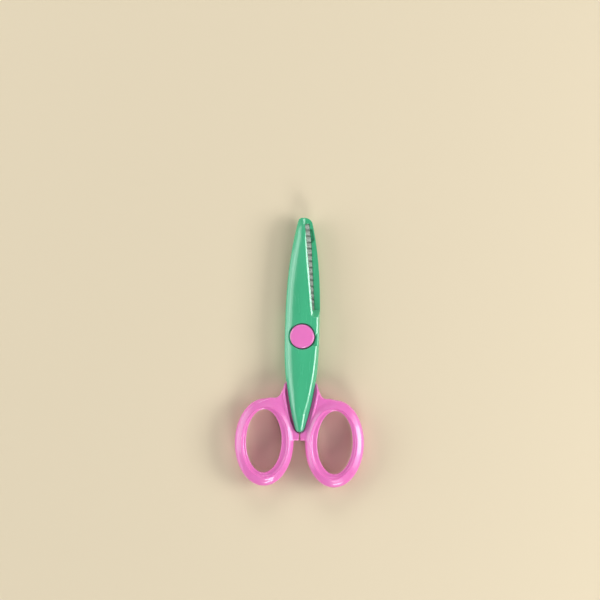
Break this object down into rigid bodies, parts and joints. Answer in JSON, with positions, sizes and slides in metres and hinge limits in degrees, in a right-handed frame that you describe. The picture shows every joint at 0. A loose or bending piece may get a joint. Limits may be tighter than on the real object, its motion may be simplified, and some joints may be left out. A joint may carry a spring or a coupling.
{
  "type": "pinking shears",
  "caption": "Small craft pinking shears with bevelled green covers, zigzag steel strips, a round pink pivot button and oval pink finger loops.",
  "frame": {"origin": "on the pivot axis, in the plane of the flat back that the shears lie on", "axes": "+Y from the pivot to the blade tips, +Z out of the front cover along the pivot axis, +X to the right"},
  "size_m": [0.0624, 0.13, 0.0108],
  "materials": {
    "green_plastic": "gloss",
    "pink_plastic": "gloss",
    "blade_steel": "satin",
    "fastener_steel": "polished",
    "nylon": "matte"
  },
  "bodies": {
    "rear_half": {"rear_shell": "green_plastic", "rear_handle": "pink_plastic", "rear_blade": "blade_steel", "rear_blade_rivets": "fastener_steel", "rear_handle_pins": "fastener_steel", "pivot_pin": "fastener_steel", "rear_button": "pink_plastic", "rear_washer": "fastener_steel", "front_button": "pink_plastic", "front_washer": "fastener_steel", "spring_washer": "fastener_steel", "friction_disc": "nylon"},
    "front_half": {"front_shell": "green_plastic", "front_handle": "pink_plastic", "front_blade": "blade_steel", "front_blade_rivets": "fastener_steel", "front_handle_pins": "fastener_steel"}
  },
  "joints": [
    {"name": "blade_pivot", "type": "hinge", "parent": "rear_half", "child": "front_half", "pos_m": [0, 0, 0], "axis": [0, 0, 1], "range_deg": [0, 50]}
  ]
}
